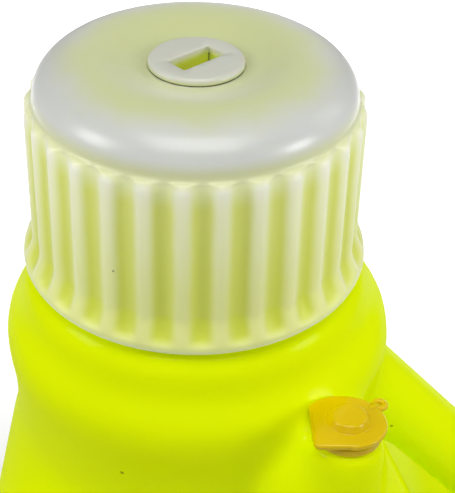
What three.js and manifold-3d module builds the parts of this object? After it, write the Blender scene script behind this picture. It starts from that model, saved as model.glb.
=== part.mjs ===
// Square blow-moulded utility jug with a ribbed screw cap, a slotted centre plug and a flip-up vent.
// Millimetres, +Z up. The origin is at the centre of the base, the handle is towards +X.
import * as THREE from "three";
import { mergeVertices } from "three/addons/utils/BufferGeometryUtils.js";
import Module from "manifold-3d";

// Driving dimensions of the body
const bodyWidth = 260;
const totalHeight = 550;
const neckOffset = -55;
const cornerRadius = 46;
const wall = 3;
const baseEdgeRadius = 16;
const basePanelRaise = 4;
const basePanelMargin = 30;
const waistRadius = 56.4;
const waistDrop = 113;
const sideShoulderDrop = 275;
const frontShoulderDrop = 205;
const rearShoulderDrop = 305;
const cornerSlack = 0.4;
const panelCornerRadius = 38;

// Shares of a shoulder's height, and of its narrowing that is done at each of them
const shoulderHeights = [0.22, 0.45, 0.68, 0.86];
const sideNarrowing = [0.05, 0.22, 0.52, 0.84];
const frontNarrowing = [0.12, 0.36, 0.64, 0.88];
const rearNarrowing = [0.36, 0.74, 0.9, 0.965];

// Collar below the cap, as drops under the cap top
const collarTopRadius = 47.2;
const stepRadius = 52.4;
const bulgeRadius = 58.4;
const bulgeRearReach = 61.2;
const collarTopDrop = 62.6;
const stepDrop = 68;
const bulgeDrop = 91;
const bulgeUnderRun = 9;
const bulgeUnderCut = 0.8;
const bulgeOverRun = 8;
const bulgeOverCut = 1;
const stepFootDrop = 77;
const stepFootRadius = 54.3;
const stepRound = 3;
const stepTopCut = 2.9;
const neckSink = 6;

// Neck finish and its thread
const neckRadius = 39.6;
const mouthRadius = 35.6;
const threadPitch = 6;
const threadHeight = 2.3;
const threadRoot = 2.4;
const threadCrest = 1;
const threadTurns = 1.75;
const threadStartDrop = 31;
const threadClearance = 0.7;
const threadSink = 0.4;
const threadFadeStart = 0.12;
const threadFadeSides = 4;
const lipRound = 1.2;

// Screw cap
const capHeight = 61.3;
const domeTopDrop = 0.4;
const domeEdgeRise = 10.7;
const domeEdgeRun = 13.4;
const domeRadius = 44.2;
const ribCount = 30;
const ribPhase = -3.85;
const ribTopRadius = 46;
const ribTopDrop = 11;
const ribTopRun = 3;
const grooveDepth = 1.9;
const grooveShare = 0.62;
const grooveEndRun = 3;
const skirtDraft = 0.035;
const flangeRadius = 50.8;
const flangeHeight = 7;
const capTopWall = 6;
const boreChamfer = 1.2;
const boreTopRun = 6;
const boreTopCut = 2.2;

// Gasket under the cap top
const gasketThickness = 2.8;
const gasketInnerOverhang = 1;
const gasketEdgeInset = 0.2;
const seatGap = 0.3;

// Centre plug and its washer
const plugFlangeRadius = 13.1;
const plugFlangeThickness = 2.1;
const plugFlangeRound = 0.9;
const plugSeatClearance = 0.8;
const plugWasherThickness = 1.2;
const plugShankRadius = 7.8;
const plugShankChamfer = 0.8;
const plugShankWall = 2.4;
const plugFloor = 2.6;
const washerClearance = 0.9;
const washerEdgeInset = 0.4;
const plugLength = 15;
const plugThreadPitch = 3;
const plugThreadHeight = 1.3;
const plugThreadRoot = 1.2;
const plugThreadCrest = 0.5;
const plugThreadTurns = 2.5;
const plugThreadClearance = 0.55;
const plugSlotLength = 14;
const plugSlotWidth = 6.2;
const plugSlotDepth = 6;
const plugSlotTurn = 42;
const plugBossWall = 4.5;
const plugBossLength = 15;
const plugThreadRise = 2;

// Handle
const handleHalfWidth = 15;
const handleHalfThickness = 11.5;
const handleDrop = 117;
const handleReach = 57.4;
const handleSlope = 46.5;
const handleBendRadius = 42;
const handleRearInset = 15.5;
const handleFootDrop = 314;
const handleNeckRun = 18;

// Rear grip recess at the base
const gripWidth = 110;
const gripDepth = 26;
const gripHeight = 30;
const gripLow = 30;
const cutBeyond = 20;

// Vent on the shoulder
const ventX = 42.3;
const ventY = -56.4;
const ventSeatDrop = 85.4;
const ventBossRadius = 12.5;
const ventBossDepth = 40;
const ventBossFlare = 9;
const ventBossWaist = 2.5;
const ventBossWaistDepth = 9;
const ventBossRound = 2;
const ventHoleDepth = 36;
const ventHoleRadius = 6.6;
const ventTubeRadius = 6.3;
const ventBoreRadius = 4.8;
const ventRingRadius = 9.4;
const ventRingHeight = 3.4;
const ventTubeLength = 12;
const ventRingChamfer = 0.6;
const ventLugWidth = 9;
const ventLugTop = 2.9;
const ventLugLow = 1.4;
const ventLugGap = 2;
const ventPlateRadius = 11.4;
const ventPlateFlat = 10.2;
const ventPlateThickness = 1.8;
const ventPlateBevel = 0.4;
const ventPlateSweep = 100;
const ventButtonRadius = 7;
const ventButtonTopRadius = 5.2;
const ventButtonHeight = 3.6;
const ventButtonRound = 1.4;
const ventButtonFoot = 0.6;
const ventPlugRadius = 4.45;
const ventPlugLength = 4.2;
const ventPlugTaper = 0.85;
const ventPlugTip = 1.2;
const ventTabLength = 5.5;
const ventTabWidth = 5;
const ventTabTurn = 38;
const ventHingeRadius = 0.8;
const ventHingeWidth = 8;
const ventFlatLength = 16.5;

// Shoulder that carries the vent, as a tapered round form under its seat
const saddleStart = [37, -47, -109];
const saddleEnd = [70, -58, -190];
const saddleStartRadius = 22;
const saddleEndRadius = 28;
const saddleCapAngle = 75;

// Facets
const ringSides = 60;
const cornerSides = 8;
const innerCornerSides = 5;
const threadSidesPerTurn = 26;
const capSidesPerRib = 4;
const plugSides = 36;
const ventSides = 28;
const saddleSides = 22;
const handleSides = 20;
const handleInnerSides = 12;
const outerLevelStep = 18;
const outerCollarStep = 3.1;
const innerLevelStep = 30;
const innerCollarStep = 6.2;
const edgeSides = 4;

const half = bodyWidth / 2;
const neckTopDrop = domeTopDrop + capTopWall + gasketThickness + 2 * seatGap;
const rearReach = half - neckOffset;
const frontReach = half + neckOffset;

const wasm = await Module();
wasm.setup();

// A closed three.js geometry as a solid that can be joined and cut.
function toSolid(geometry) {
  const bare = geometry.clone();
  for (const name of Object.keys(bare.attributes)) {
    if (name !== "position") bare.deleteAttribute(name);
  }
  const merged = mergeVertices(bare, 1e-4);
  return new wasm.Manifold(
    new wasm.Mesh({
      numProp: 3,
      vertProperties: new Float32Array(merged.attributes.position.array),
      triVerts: new Uint32Array(merged.index.array),
    }),
  );
}

function toGeometry(solid) {
  const mesh = solid.getMesh();
  const geometry = new THREE.BufferGeometry();
  geometry.setAttribute("position", new THREE.BufferAttribute(mesh.vertProperties, 3));
  geometry.setIndex(new THREE.BufferAttribute(mesh.triVerts, 1));
  geometry.computeVertexNormals();
  return geometry;
}

function join(...solids) {
  return solids.reduce((all, one) => all.add(one));
}

// A body of revolution about Z. Each point is [radius, height], and the profile runs upwards
// on its outside, starting and ending on the axis or closing on itself.
function revolve(points, sides = ringSides) {
  const profile = points.map(([radius, height]) => new THREE.Vector2(radius, height));
  return new THREE.LatheGeometry(profile, sides).rotateX(Math.PI / 2);
}

function closedRevolve(points, sides = ringSides) {
  return toSolid(revolve([...points, points[0]], sides));
}

function disc(radius, low, high, sides = ringSides) {
  return toSolid(revolve([[0, low], [radius, low], [radius, high], [0, high]], sides));
}

function ring(inner, outer, low, high, sides = ringSides) {
  return closedRevolve([[inner, low], [outer, low], [outer, high], [inner, high]], sides);
}

// Points of an arc in a profile, from one angle to another in degrees.
function arc(centreX, centreY, radius, fromDegrees, toDegrees, steps) {
  const points = [];
  for (let i = 0; i <= steps; i++) {
    const angle = THREE.MathUtils.degToRad(fromDegrees + ((toDegrees - fromDegrees) * i) / steps);
    points.push([centreX + radius * Math.cos(angle), centreY + radius * Math.sin(angle)]);
  }
  return points;
}

// A closed skin over a stack of rings with equal counts of points, with a fan at each end.
function skin(rings) {
  const count = rings[0].length;
  const positions = rings.flat().flatMap((p) => [p.x, p.y, p.z]);
  const index = [];
  for (let row = 0; row + 1 < rings.length; row++) {
    for (let i = 0; i < count; i++) {
      const a = row * count + i;
      const b = row * count + ((i + 1) % count);
      index.push(a, b, b + count, a, b + count, a + count);
    }
  }
  const middle = (points) => points.reduce((sum, p) => sum.add(p), new THREE.Vector3()).divideScalar(count);
  const first = positions.length / 3;
  positions.push(...middle(rings[0]).toArray(), ...middle(rings.at(-1)).toArray());
  const lastRow = (rings.length - 1) * count;
  for (let i = 0; i < count; i++) {
    const next = (i + 1) % count;
    index.push(first, next, i, first + 1, lastRow + i, lastRow + next);
  }
  const geometry = new THREE.BufferGeometry();
  geometry.setAttribute("position", new THREE.Float32BufferAttribute(positions, 3));
  geometry.setIndex(index);
  return toSolid(geometry);
}

// A value that runs smoothly through stations [height, value], in rising order of height.
function through(stations, height) {
  if (height <= stations[0][0]) return stations[0][1];
  if (height >= stations.at(-1)[0]) return stations.at(-1)[1];
  const slope = (i) => {
    if (i === 0 || i === stations.length - 1) return 0;
    const before = (stations[i][1] - stations[i - 1][1]) / (stations[i][0] - stations[i - 1][0]);
    const after = (stations[i + 1][1] - stations[i][1]) / (stations[i + 1][0] - stations[i][0]);
    return before * after <= 0 ? 0 : (2 * before * after) / (before + after);
  };
  const k = stations.findIndex(([z], i) => height >= z && height < stations[i + 1][0]);
  const [z0, v0] = stations[k];
  const [z1, v1] = stations[k + 1];
  const span = z1 - z0;
  const t = (height - z0) / span;
  const rise = (1 - t) * (1 - t) * t * slope(k) * span - (1 - t) * t * t * slope(k + 1) * span;
  return v0 + (v1 - v0) * t * t * (3 - 2 * t) + rise;
}

// Half widths of the body about the neck axis, from the base up to the waist
const fromTop = (drop) => totalHeight - drop;
const waistHeight = fromTop(waistDrop);

function shoulderStations(reach, shoulderDrop, narrowing) {
  const low = fromTop(shoulderDrop);
  const rise = waistHeight - low;
  const loss = reach - waistRadius;
  const inner = shoulderHeights.map((share, i) => [low + rise * share, reach - loss * narrowing[i]]);
  return [[low, reach], ...inner, [waistHeight, waistRadius]];
}

const sideStations = shoulderStations(half, sideShoulderDrop, sideNarrowing);
const frontStations = shoulderStations(frontReach, frontShoulderDrop, frontNarrowing);
const rearStations = shoulderStations(rearReach, rearShoulderDrop, rearNarrowing);
const cornerStations = [
  [fromTop(sideShoulderDrop), cornerRadius],
  [waistHeight, waistRadius - cornerSlack],
];

// Radius of the round collar above the waist
const collarStations = [
  [waistHeight, waistRadius],
  [fromTop(bulgeDrop + bulgeUnderRun), bulgeRadius - bulgeUnderCut],
  [fromTop(bulgeDrop), bulgeRadius],
  [fromTop(bulgeDrop - bulgeOverRun), bulgeRadius - bulgeOverCut],
  [fromTop(stepFootDrop), stepFootRadius],
  [fromTop(stepDrop + stepRound), stepRadius],
  [fromTop(stepDrop), stepRadius - stepTopCut / stepRound],
  [fromTop(stepDrop - stepRound), stepRadius - stepTopCut],
  [fromTop(collarTopDrop), collarTopRadius],
];

// The collar reaches further on the handle's side.
const collarRearGrowth = [
  [waistHeight, 0],
  [fromTop(bulgeDrop), bulgeRearReach - bulgeRadius],
  [fromTop(collarTopDrop), 0],
];

// One level outline of the body: a rectangle with round corners that is a circle at the neck.
function bodyRing(height, inset, sides) {
  const above = height > waistHeight;
  const radius = above ? through(collarStations, height) : 0;
  const reach = (stations) => (above ? radius : through(stations, height)) - inset;
  const front = reach(frontStations);
  const rear = reach(rearStations) + through(collarRearGrowth, height);
  const side = reach(sideStations);
  const fullCorner = above ? radius - cornerSlack : through(cornerStations, height);
  const corner = Math.min(fullCorner - inset, front - cornerSlack);
  const points = [];
  const corners = [
    [rear - corner, side - corner],
    [corner - front, side - corner],
    [corner - front, corner - side],
    [rear - corner, corner - side],
  ];
  corners.forEach(([x, y], quarter) => {
    for (let i = 0; i <= sides; i++) {
      const angle = ((quarter + i / sides) * Math.PI) / 2;
      points.push(
        new THREE.Vector3(
          neckOffset + x + corner * Math.cos(angle),
          y + corner * Math.sin(angle),
          height,
        ),
      );
    }
  });
  return points;
}

// The body's form at an inset from its outside, between two heights, with a round base edge.
function bodyForm(inset, low, high, sides, levelStep, collarStep) {
  const rings = [];
  const edge = baseEdgeRadius - inset;
  for (let i = 0; i < edgeSides; i++) {
    const angle = ((i / edgeSides) * Math.PI) / 2;
    rings.push(bodyRing(low + edge * (1 - Math.cos(angle)), inset + edge * (1 - Math.sin(angle)), sides));
  }
  const levels = [low + edge];
  for (let drop = rearShoulderDrop; drop > waistDrop + collarStep; drop -= levelStep) {
    levels.push(fromTop(drop));
  }
  for (let drop = waistDrop; fromTop(drop) < high - collarStep / 2; drop -= collarStep) {
    levels.push(fromTop(drop));
  }
  [...levels, high].forEach((height) => rings.push(bodyRing(height, inset, sides)));
  return skin(rings);
}

// A round form between two points of [x, y, z] about the neck axis, wider at its far end.
function taperedForm(inset) {
  const start = new THREE.Vector3(neckOffset + saddleStart[0], saddleStart[1], totalHeight + saddleStart[2]);
  const end = new THREE.Vector3(neckOffset + saddleEnd[0], saddleEnd[1], totalHeight + saddleEnd[2]);
  const length = start.distanceTo(end);
  const r0 = saddleStartRadius - inset;
  const r1 = saddleEndRadius - inset;
  const profile = [
    [0, -r0],
    ...arc(0, 0, r0, -saddleCapAngle, 0, 5),
    ...arc(0, length, r1, 0, saddleCapAngle, 5),
    [0, length + r1],
  ];
  const geometry = revolve(profile, saddleSides);
  const aim = end.clone().sub(start).normalize();
  geometry.applyQuaternion(new THREE.Quaternion().setFromUnitVectors(new THREE.Vector3(0, 0, 1), aim));
  geometry.translate(start.x, start.y, start.z);
  return toSolid(geometry);
}

// Centre line of the handle in the plane Y = 0, from inside the neck to inside the rear wall.
function handlePath() {
  const slope = THREE.MathUtils.degToRad(handleSlope);
  const along = new THREE.Vector2(Math.cos(slope), -Math.sin(slope));
  const onSlope = new THREE.Vector2(neckOffset + handleReach, fromTop(handleDrop));
  const rearX = half - handleRearInset;
  const kneeRun = (rearX - onSlope.x) / along.x;
  const knee = onSlope.clone().addScaledVector(along, kneeRun);
  const cut = handleBendRadius * Math.tan((Math.PI / 2 - slope) / 2);
  const bendStart = knee.clone().addScaledVector(along, -cut);
  const bendEnd = new THREE.Vector2(rearX, knee.y - cut);
  const path = new THREE.CurvePath();
  const at = (v) => new THREE.Vector3(v.x, 0, v.y);
  const inNeck = onSlope.clone().addScaledVector(along, -handleNeckRun);
  path.add(new THREE.LineCurve3(at(inNeck), at(bendStart)));
  path.add(new THREE.QuadraticBezierCurve3(at(bendStart), at(knee), at(bendEnd)));
  path.add(new THREE.LineCurve3(at(bendEnd), new THREE.Vector3(rearX, 0, fromTop(handleFootDrop))));
  return path;
}

// The handle's oval section swept along its centre line.
function handleForm(inset, sides) {
  const path = handlePath();
  const steps = [0, 0.25, 0.42, 0.5, 0.55, 0.6, 0.65, 0.7, 0.76, 0.82, 0.88, 0.94, 1];
  const rings = steps.map((t) => {
    const centre = path.getPointAt(t);
    const tangent = path.getTangentAt(t);
    const outward = new THREE.Vector3(-tangent.z, 0, tangent.x);
    const points = [];
    for (let i = 0; i < sides; i++) {
      const angle = (i / sides) * Math.PI * 2;
      points.push(
        centre
          .clone()
          .addScaledVector(outward, (handleHalfThickness - inset) * Math.cos(angle))
          .add(new THREE.Vector3(0, -(handleHalfWidth - inset) * Math.sin(angle), 0)),
      );
    }
    return points;
  });
  return skin(rings);
}

// A helical ridge about Z: its base sits on baseRadius and its crest reaches crestRadius.
function threadRidge(baseRadius, crestRadius, root, crest, pitch, turns, startHeight) {
  const steps = Math.round(turns * threadSidesPerTurn);
  const sunk = baseRadius + Math.sign(baseRadius - crestRadius) * threadSink;
  const rings = [];
  for (let i = 0; i <= steps; i++) {
    const angle = (i / threadSidesPerTurn) * Math.PI * 2;
    const height = startHeight + (i / threadSidesPerTurn) * pitch;
    const grow = Math.min(1, Math.max(threadFadeStart, Math.min(i, steps - i) / threadFadeSides));
    const tip = baseRadius + (crestRadius - baseRadius) * grow;
    const section = [
      [sunk, -root / 2],
      [tip, -crest / 2],
      [tip, crest / 2],
      [sunk, root / 2],
    ];
    if (crestRadius > baseRadius) section.reverse();
    rings.push(
      section.map(
        ([radius, rise]) =>
          new THREE.Vector3(radius * Math.cos(angle), radius * Math.sin(angle), height + rise),
      ),
    );
  }
  return skin(rings);
}

const capPlace = [neckOffset, 0, totalHeight];
const ventPlace = [neckOffset + ventX, ventY, totalHeight - ventSeatDrop];

function capPosition(solid) {
  return solid.translate(capPlace);
}

function ventPosition(solid) {
  return solid.translate(ventPlace);
}

function makeBody() {
  const collarTop = fromTop(collarTopDrop);
  const cavityFloor = basePanelRaise + wall;
  const ventBoss = toSolid(revolve([
    [0, -ventBossDepth],
    [ventBossRadius + ventBossFlare, -ventBossDepth],
    [ventBossRadius + ventBossWaist, -ventBossWaistDepth],
    ...arc(ventBossRadius - ventBossRound, -ventBossRound, ventBossRound, 0, 90, 3),
    [0, 0],
  ], ventSides));
  const outer = join(
    bodyForm(0, 0, collarTop, cornerSides, outerLevelStep, outerCollarStep),
    taperedForm(0),
    handleForm(0, handleSides),
    capPosition(disc(neckRadius, -collarTopDrop - neckSink, -neckTopDrop)),
    ventPosition(ventBoss),
  );
  const inner = join(
    bodyForm(wall, cavityFloor, collarTop - wall, innerCornerSides, innerLevelStep, innerCollarStep),
    taperedForm(wall),
    handleForm(wall, handleInnerSides),
    capPosition(disc(mouthRadius, -collarTopDrop - neckSink - 2 * wall, 1)),
    ventPosition(disc(ventHoleRadius, -ventHoleDepth, 1, ventSides)),
  );
  const thread = capPosition(threadRidge(
    neckRadius,
    neckRadius + threadHeight,
    threadRoot,
    threadCrest,
    threadPitch,
    threadTurns,
    -threadStartDrop,
  ));
  const lipCut = capPosition(closedRevolve([
    [neckRadius + lipRound, -neckTopDrop - lipRound],
    [neckRadius + lipRound, lipRound - neckTopDrop],
    [neckRadius - lipRound, lipRound - neckTopDrop],
    ...arc(neckRadius - lipRound, -neckTopDrop - lipRound, lipRound, 90, 0, 4),
  ]));
  return outer
    .subtract(lipCut)
    .subtract(basePanel())
    .subtract(inner.subtract(gripForm(wall)))
    .subtract(gripForm(0))
    .add(thread);
}

// The base panel is pushed up inside the ring that the jug stands on.
function basePanel() {
  const side = half - basePanelMargin;
  const rings = [
    [-1, side + 1],
    [0, side],
    [basePanelRaise, side - basePanelRaise],
  ].map(([height, reach]) => {
    const corner = panelCornerRadius;
    const points = [];
    for (let i = 0; i < 4 * (innerCornerSides + 1); i++) {
      const quarter = Math.floor(i / (innerCornerSides + 1));
      const step = i % (innerCornerSides + 1);
      const angle = ((quarter + step / innerCornerSides) * Math.PI) / 2;
      const x = (quarter === 0 || quarter === 3 ? 1 : -1) * (reach - corner);
      const y = (quarter < 2 ? 1 : -1) * (reach - corner);
      points.push(new THREE.Vector3(x + corner * Math.cos(angle), y + corner * Math.sin(angle), height));
    }
    return points;
  });
  return skin(rings);
}

// The recess for the fingers low on the rear face, grown by a wall where the inside follows it.
function gripForm(grow) {
  const radius = gripHeight / 2 + grow;
  const shape = new THREE.Shape();
  const mid = gripLow + gripHeight / 2;
  const back = half - gripDepth + gripHeight / 2;
  shape.moveTo(half + cutBeyond, mid - radius);
  shape.lineTo(back, mid - radius);
  shape.absarc(back, mid, radius, -Math.PI / 2, Math.PI / 2, true);
  shape.lineTo(half + cutBeyond, mid + radius);
  shape.closePath();
  const length = gripWidth + 2 * grow;
  const geometry = new THREE.ExtrudeGeometry(shape, {
    depth: length,
    bevelEnabled: false,
    curveSegments: 10,
  });
  geometry.rotateX(Math.PI / 2).translate(0, length / 2, 0);
  return toSolid(geometry);
}

// Outside radius of the cap's ribbed skirt at an angle in degrees and a height under the top.
function skirtRadius(degrees, drop) {
  const crest = ribTopRadius + (drop - ribTopDrop) * skirtDraft;
  const pitch = 360 / ribCount;
  const phase = ((((degrees - ribPhase) / pitch) % 1) + 1) % 1;
  const fromGroove = Math.abs(phase - 0.5) * 2;
  const bowl = Math.max(0, 1 - (fromGroove / grooveShare) ** 2);
  const away = THREE.MathUtils.clamp((capHeight - flangeHeight - drop) / grooveEndRun, 0, 1);
  const depth = grooveDepth * Math.sqrt(bowl * away);
  const belowRibTop = THREE.MathUtils.clamp((drop - ribTopDrop) / ribTopRun, 0, 1);
  const roundedTop = (ribTopRadius - domeRadius) * (1 - Math.sqrt(belowRibTop * (2 - belowRibTop)));
  return crest - Math.max(depth, roundedTop);
}

function makeCap() {
  const count = ribCount * capSidesPerRib;
  const flangeTop = capHeight - flangeHeight;
  const drops = [flangeTop + grooveEndRun, flangeTop, flangeTop - grooveEndRun];
  for (const share of [1, 0.3, 0.07, 0]) drops.push(ribTopDrop + ribTopRun * share);
  const skirt = skin(drops.map((drop) => Array.from({ length: count }, (_, i) => {
    const degrees = (i * 360) / count + ribPhase;
    const angle = THREE.MathUtils.degToRad(degrees - 90);
    const radius = skirtRadius(degrees, drop);
    return new THREE.Vector3(radius * Math.cos(angle), radius * Math.sin(angle), -drop);
  })));
  const flangeCrest = ribTopRadius + (flangeTop - ribTopDrop) * skirtDraft;
  const lipRadius = flangeHeight * 0.42;
  const flange = toSolid(revolve([
    [0, -capHeight],
    [flangeRadius - lipRadius, -capHeight],
    ...arc(flangeRadius - lipRadius, lipRadius - capHeight, lipRadius, -60, 60, 5),
    [flangeCrest, -flangeTop],
    [0, -flangeTop],
  ]));
  const dome = toSolid(revolve([
    [0, -ribTopDrop - ribTopRun],
    [domeRadius, -ribTopDrop - ribTopRun],
    ...arc(0, 0, 1, 0, 90, 8).map(([across, up]) => [
      domeRadius - domeEdgeRun * (1 - across),
      -domeTopDrop - domeEdgeRise * (1 - up),
    ]),
    [0, -domeTopDrop],
  ]));
  const boreRadius = neckRadius + threadHeight + threadClearance;
  const boreTop = -domeTopDrop - capTopWall;
  const bore = toSolid(revolve([
    [0, -capHeight - 1],
    [boreRadius + boreChamfer, -capHeight - 1],
    [boreRadius + boreChamfer, -capHeight],
    [boreRadius, boreChamfer - capHeight],
    [boreRadius, boreTop - boreTopRun],
    [boreRadius - boreTopCut, boreTop],
    [0, boreTop],
  ]));
  const plugBore = plugShankRadius + plugThreadHeight + plugThreadClearance;
  const bossLow = boreTop - plugBossLength;
  const boss = ring(plugBore, plugBore + plugBossWall, bossLow, boreTop + 1, plugSides);
  const seatDrop = plugFlangeThickness + plugWasherThickness + 2 * seatGap;
  const plugHole = toSolid(revolve([
    [0, bossLow - 1],
    [plugBore, bossLow - 1],
    [plugBore, -seatDrop],
    [plugFlangeRadius + plugSeatClearance, -seatDrop],
    [plugFlangeRadius + plugSeatClearance, 1],
    [0, 1],
  ], plugSides));
  const thread = threadRidge(
    boreRadius,
    neckRadius + threadClearance,
    threadRoot,
    threadCrest,
    threadPitch,
    threadTurns,
    -threadStartDrop - threadPitch / 2,
  );
  const plugThread = threadRidge(
    plugBore,
    plugShankRadius + plugThreadClearance,
    plugThreadRoot,
    plugThreadCrest,
    plugThreadPitch,
    plugThreadTurns,
    bossLow + plugThreadRise,
  );
  return join(skirt, flange, dome)
    .subtract(bore)
    .add(boss)
    .subtract(plugHole)
    .add(thread)
    .add(plugThread);
}

function makeGasket() {
  const top = -domeTopDrop - capTopWall - seatGap;
  return ring(mouthRadius - gasketInnerOverhang, neckRadius - gasketEdgeInset, top - gasketThickness, top);
}

function makePlug() {
  const low = -plugFlangeThickness;
  const body = toSolid(revolve([
    [0, low - plugLength],
    [plugShankRadius - plugShankChamfer, low - plugLength],
    [plugShankRadius, low - plugLength + plugShankChamfer],
    [plugShankRadius, low],
    [plugFlangeRadius, low],
    ...arc(plugFlangeRadius - plugFlangeRound, -plugFlangeRound, plugFlangeRound, 0, 90, 3),
    [0, 0],
  ], plugSides));
  const bossLow = -domeTopDrop - capTopWall - plugBossLength;
  const thread = threadRidge(
    plugShankRadius,
    plugShankRadius + plugThreadHeight,
    plugThreadRoot,
    plugThreadCrest,
    plugThreadPitch,
    plugThreadTurns,
    bossLow + plugThreadRise + plugThreadPitch / 2,
  );
  const hollowRadius = plugShankRadius - plugShankWall;
  const hollow = disc(hollowRadius, low - plugLength - 1, -plugSlotDepth - plugFloor, plugSides);
  const slot = toSolid(new THREE.BoxGeometry(plugSlotLength, plugSlotWidth, 2 * plugSlotDepth));
  return body.add(thread).subtract(hollow).subtract(slot.rotate([0, 0, plugSlotTurn]));
}

function makeWasher() {
  const top = -plugFlangeThickness - seatGap;
  const inner = plugShankRadius + plugThreadHeight + washerClearance;
  return ring(inner, plugFlangeRadius - washerEdgeInset, top - plugWasherThickness, top, plugSides);
}

// Vent insert: a tube pressed in the boss, a ring on the seat and a lug for the strap hinge.
function makeVentBase() {
  const tube = ring(ventBoreRadius, ventTubeRadius, -ventTubeLength, 1, ventSides);
  const collar = closedRevolve([
    [ventBoreRadius, seatGap],
    [ventRingRadius - ventRingChamfer, seatGap],
    [ventRingRadius, seatGap + ventRingChamfer],
    [ventRingRadius - ventRingChamfer, ventRingHeight],
    [ventBoreRadius, ventRingHeight],
  ], ventSides);
  const lugInner = ventBoreRadius + ventLugGap;
  const lug = new THREE.BoxGeometry(ventPlateFlat - lugInner, ventLugWidth, ventLugTop - ventLugLow);
  lug.translate(-(ventPlateFlat + lugInner) / 2, 0, (ventLugTop + ventLugLow) / 2);
  return join(tube, collar, toSolid(lug));
}

// Vent cap: a plate with one straight side, a domed button, a plug and a pull tab.
function makeVentCap() {
  const low = ventRingHeight + seatGap;
  const high = low + ventPlateThickness;
  const top = high + ventButtonHeight;
  const outline = new THREE.Shape();
  const sweep = THREE.MathUtils.degToRad(ventPlateSweep);
  outline.moveTo(-ventPlateFlat, ventFlatLength / 2);
  outline.lineTo(-ventPlateFlat, -ventFlatLength / 2);
  outline.absarc(0, 0, ventPlateRadius, -sweep, sweep, false);
  outline.closePath();
  const plate = new THREE.ExtrudeGeometry(outline, {
    depth: ventPlateThickness - 2 * ventPlateBevel,
    bevelThickness: ventPlateBevel,
    bevelSize: ventPlateBevel,
    bevelOffset: -ventPlateBevel,
    bevelSegments: 1,
    curveSegments: 24,
  });
  plate.translate(0, 0, low + ventPlateBevel);
  const button = toSolid(revolve([
    [0, high - 1],
    [ventButtonRadius, high - 1],
    [ventButtonRadius, high + ventButtonFoot],
    ...arc(ventButtonTopRadius - ventButtonRound, top - ventButtonRound, ventButtonRound, 15, 90, 4),
    [0, top],
  ], ventSides));
  const plug = toSolid(revolve([
    [0, low - ventPlugLength],
    [ventPlugRadius - ventPlugTaper, low - ventPlugLength],
    [ventPlugRadius, low - ventPlugTip],
    [ventPlugRadius, high - 1],
    [0, high - 1],
  ], ventSides));
  const tab = new THREE.Shape();
  const tabHalf = ventTabWidth / 2;
  const tabRoot = ventPlateRadius - ventTabWidth / 2;
  tab.moveTo(tabRoot, -tabHalf);
  tab.lineTo(ventPlateRadius, -tabHalf);
  tab.absarc(ventPlateRadius + ventTabLength - tabHalf, 0, tabHalf, -Math.PI / 2, Math.PI / 2, false);
  tab.lineTo(tabRoot, tabHalf);
  tab.closePath();
  const tabDepth = ventPlateThickness - ventPlateBevel;
  const pull = new THREE.ExtrudeGeometry(tab, { depth: tabDepth, bevelEnabled: false, curveSegments: 8 });
  pull.translate(0, 0, low + ventPlateBevel / 2).rotateZ(THREE.MathUtils.degToRad(ventTabTurn));
  const barrel = new THREE.CylinderGeometry(ventHingeRadius, ventHingeRadius, ventHingeWidth, 10);
  barrel.translate(-ventPlateFlat, 0, (low + high) / 2);
  return join(toSolid(plate), button, plug, toSolid(pull), toSolid(barrel));
}

const jugYellow = new THREE.MeshStandardMaterial({ color: "#d6ef00", roughness: 0.42, metalness: 0 });
const naturalWhite = new THREE.MeshStandardMaterial({ color: "#dcdfb8", roughness: 0.4, metalness: 0 });
const plugWhite = new THREE.MeshStandardMaterial({ color: "#c6c9b8", roughness: 0.35, metalness: 0 });
const amber = new THREE.MeshStandardMaterial({ color: "#e0c400", roughness: 0.45, metalness: 0 });
const foam = new THREE.MeshStandardMaterial({ color: "#e8e8e2", roughness: 0.8, metalness: 0 });
const rubber = new THREE.MeshStandardMaterial({ color: "#2b2b2b", roughness: 0.7, metalness: 0 });

function node(name, solid, material) {
  const mesh = new THREE.Mesh(toGeometry(solid), material);
  mesh.name = name;
  return mesh;
}

const jug = new THREE.Group();
jug.add(node("jug_body", makeBody(), jugYellow));

const closure = new THREE.Group();
closure.position.set(...capPlace);
closure.add(node("screw_cap", makeCap(), naturalWhite));
closure.add(node("cap_gasket", makeGasket(), foam));
closure.add(node("cap_plug", makePlug(), plugWhite));
closure.add(node("plug_washer", makeWasher(), rubber));
jug.add(closure);

const vent = new THREE.Group();
vent.position.set(...ventPlace);
vent.add(node("vent_base", makeVentBase(), amber));
vent.add(node("vent_cap", makeVentCap(), amber));
jug.add(vent);

export default jug;
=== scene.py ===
import math

import bpy
import bmesh
from mathutils import Matrix, Vector


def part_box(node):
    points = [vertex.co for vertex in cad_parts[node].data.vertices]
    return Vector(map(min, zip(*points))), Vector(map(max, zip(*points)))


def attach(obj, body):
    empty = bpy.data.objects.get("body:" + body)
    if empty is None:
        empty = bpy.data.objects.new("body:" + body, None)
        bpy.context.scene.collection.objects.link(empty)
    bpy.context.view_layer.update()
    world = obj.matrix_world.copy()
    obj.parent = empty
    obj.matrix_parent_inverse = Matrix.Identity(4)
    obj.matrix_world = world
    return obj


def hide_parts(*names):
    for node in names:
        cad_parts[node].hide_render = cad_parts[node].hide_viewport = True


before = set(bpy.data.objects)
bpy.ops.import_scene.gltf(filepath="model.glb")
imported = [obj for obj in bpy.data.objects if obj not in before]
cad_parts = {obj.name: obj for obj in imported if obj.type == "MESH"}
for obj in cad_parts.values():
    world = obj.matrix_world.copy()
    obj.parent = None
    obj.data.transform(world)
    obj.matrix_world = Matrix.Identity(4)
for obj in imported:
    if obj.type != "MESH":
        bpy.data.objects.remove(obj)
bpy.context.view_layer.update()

# Lengths are in millimetres until a mesh is made, and places are taken from the frame.
MM = 0.001
cap_low, cap_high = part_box("screw_cap")
NECK_X = (cap_low.x + cap_high.x) / 2 / MM
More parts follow.
